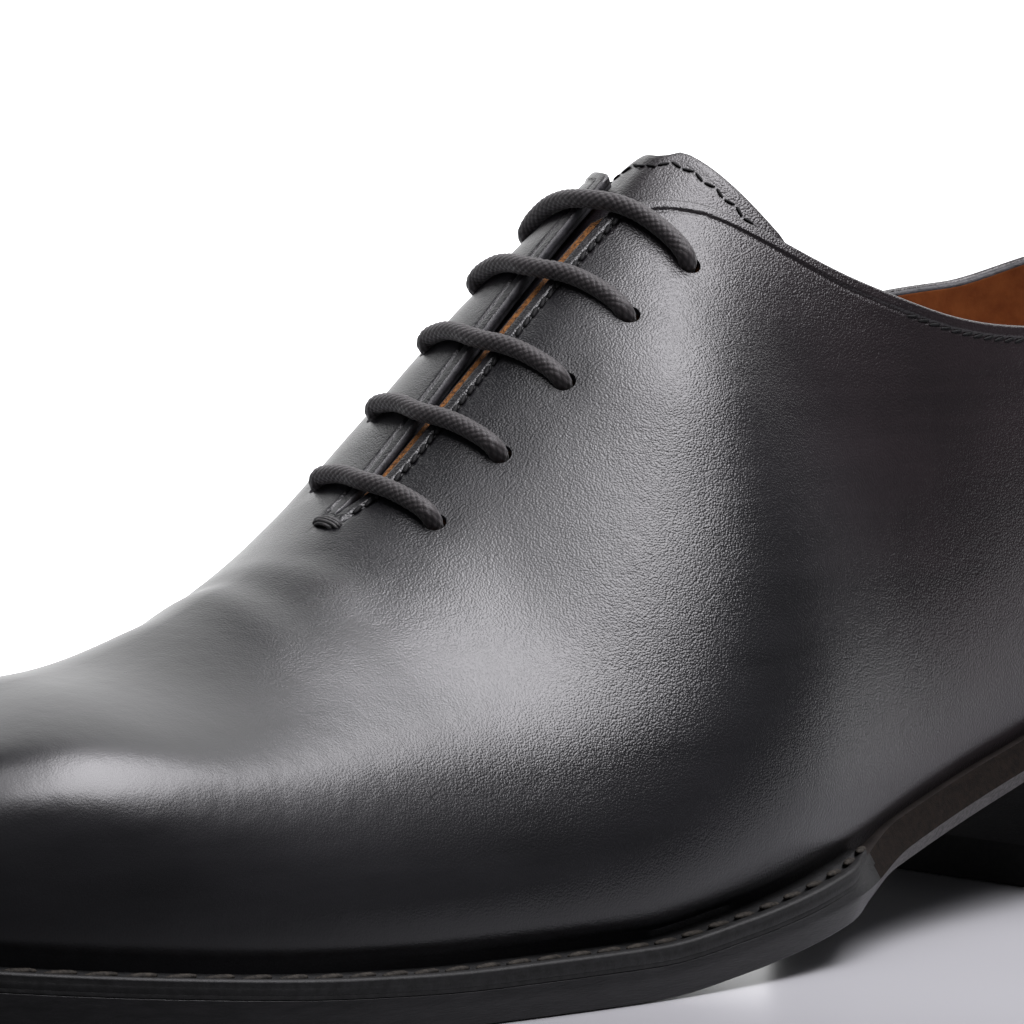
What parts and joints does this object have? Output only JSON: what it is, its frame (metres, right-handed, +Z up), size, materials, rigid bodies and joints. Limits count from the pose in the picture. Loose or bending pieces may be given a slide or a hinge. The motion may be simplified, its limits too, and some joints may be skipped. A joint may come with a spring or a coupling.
{
  "type": "whole cut oxford",
  "caption": "Left dress shoe with a one-piece black leather upper, closed facings with bar lacing, tongue, stitched welt, leather outsole with a bevelled waist, and a stacked heel.",
  "frame": {"origin": "on the floor, at the middle of the heel's flat tread, half way from its breast to its back", "axes": "+Z up from the sole, -Y from the heel to the toe, +X to the outer (lateral) side of this left shoe"},
  "size_m": [0.0977, 0.2949, 0.1079],
  "materials": {
    "upper_leather": "fine grained charcoal black calf, satin to glossy",
    "tongue_leather": "grained black calf, satin",
    "insole_leather": "smooth cognac lining leather",
    "welt_leather": "inked and stitched welt",
    "sole_leather": "black inked and waxed sole leather",
    "heel_leather": "black inked stacked lifts",
    "heel_rubber": "matt black rubber",
    "waxed_lace": "round braided waxed cotton"
  },
  "bodies": {
    "root": {"upper": "upper_leather", "tongue": "tongue_leather", "insole": "insole_leather", "welt": "welt_leather", "outsole": "sole_leather", "heel_lift_1": "heel_leather", "heel_lift_2": "heel_leather", "heel_lift_3": "heel_leather", "top_piece": "heel_rubber", "lace_bar_1": "waxed_lace", "lace_bar_2": "waxed_lace", "lace_bar_3": "waxed_lace", "lace_bar_4": "waxed_lace", "lace_bar_5": "waxed_lace"}
  },
  "joints": []
}
